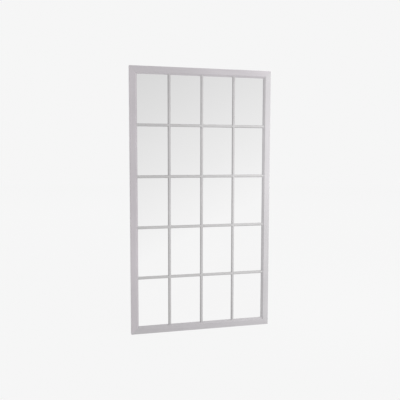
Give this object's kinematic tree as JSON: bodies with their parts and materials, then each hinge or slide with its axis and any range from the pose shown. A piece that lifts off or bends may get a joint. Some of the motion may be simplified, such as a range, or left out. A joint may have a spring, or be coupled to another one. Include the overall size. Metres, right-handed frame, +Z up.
{
  "type": "leaner mirror",
  "caption": "Tall floor-standing window-pane mirror: mitred, bevelled painted wood frame with half-lapped glazing bars over one mirror sheet, and ring hangers on the back.",
  "frame": {"origin": "middle of the underside of the bottom rail", "axes": "+X to the right seen from the front, +Y from the mirror's face towards the wall, +Z up"},
  "size_m": [0.985, 0.044, 1.8],
  "materials": {
    "painted_wood": "pale grey satin paint over wood grain",
    "mirror": "silvered float glass",
    "fibreboard": "bare fibreboard",
    "spline_wood": "bare beech",
    "packing_felt": "soft felt strip",
    "block_rubber": "matt rubber",
    "zinc_steel": "bright zinc plate"
  },
  "bodies": {
    "frame": {"left_stile": "painted_wood", "right_stile": "painted_wood", "top_rail": "painted_wood", "bottom_rail": "painted_wood", "vertical_bar_1": "painted_wood", "vertical_bar_2": "painted_wood", "vertical_bar_3": "painted_wood", "horizontal_bar_1": "painted_wood", "horizontal_bar_2": "painted_wood", "horizontal_bar_3": "painted_wood", "horizontal_bar_4": "painted_wood", "mirror_sheet": "mirror", "backing_board": "fibreboard", "mitre_splines": "spline_wood", "packing_strips": "packing_felt", "setting_blocks": "block_rubber", "wall_bumpers": "block_rubber", "left_hanger_strap": "zinc_steel", "right_hanger_strap": "zinc_steel", "strap_screws": "zinc_steel", "retaining_points": "zinc_steel"},
    "left_ring": {"left_hanger_ring": "zinc_steel"},
    "right_ring": {"right_hanger_ring": "zinc_steel"}
  },
  "joints": [
    {"name": "left_ring_swing", "type": "hinge", "parent": "frame", "child": "left_ring", "pos_m": [-0.47225, 0.0218, 1.45], "axis": [1, 0, 0], "range_deg": [0, 180]},
    {"name": "right_ring_swing", "type": "hinge", "parent": "frame", "child": "right_ring", "pos_m": [0.47225, 0.0218, 1.45], "axis": [1, 0, 0], "range_deg": [0, 180]}
  ]
}
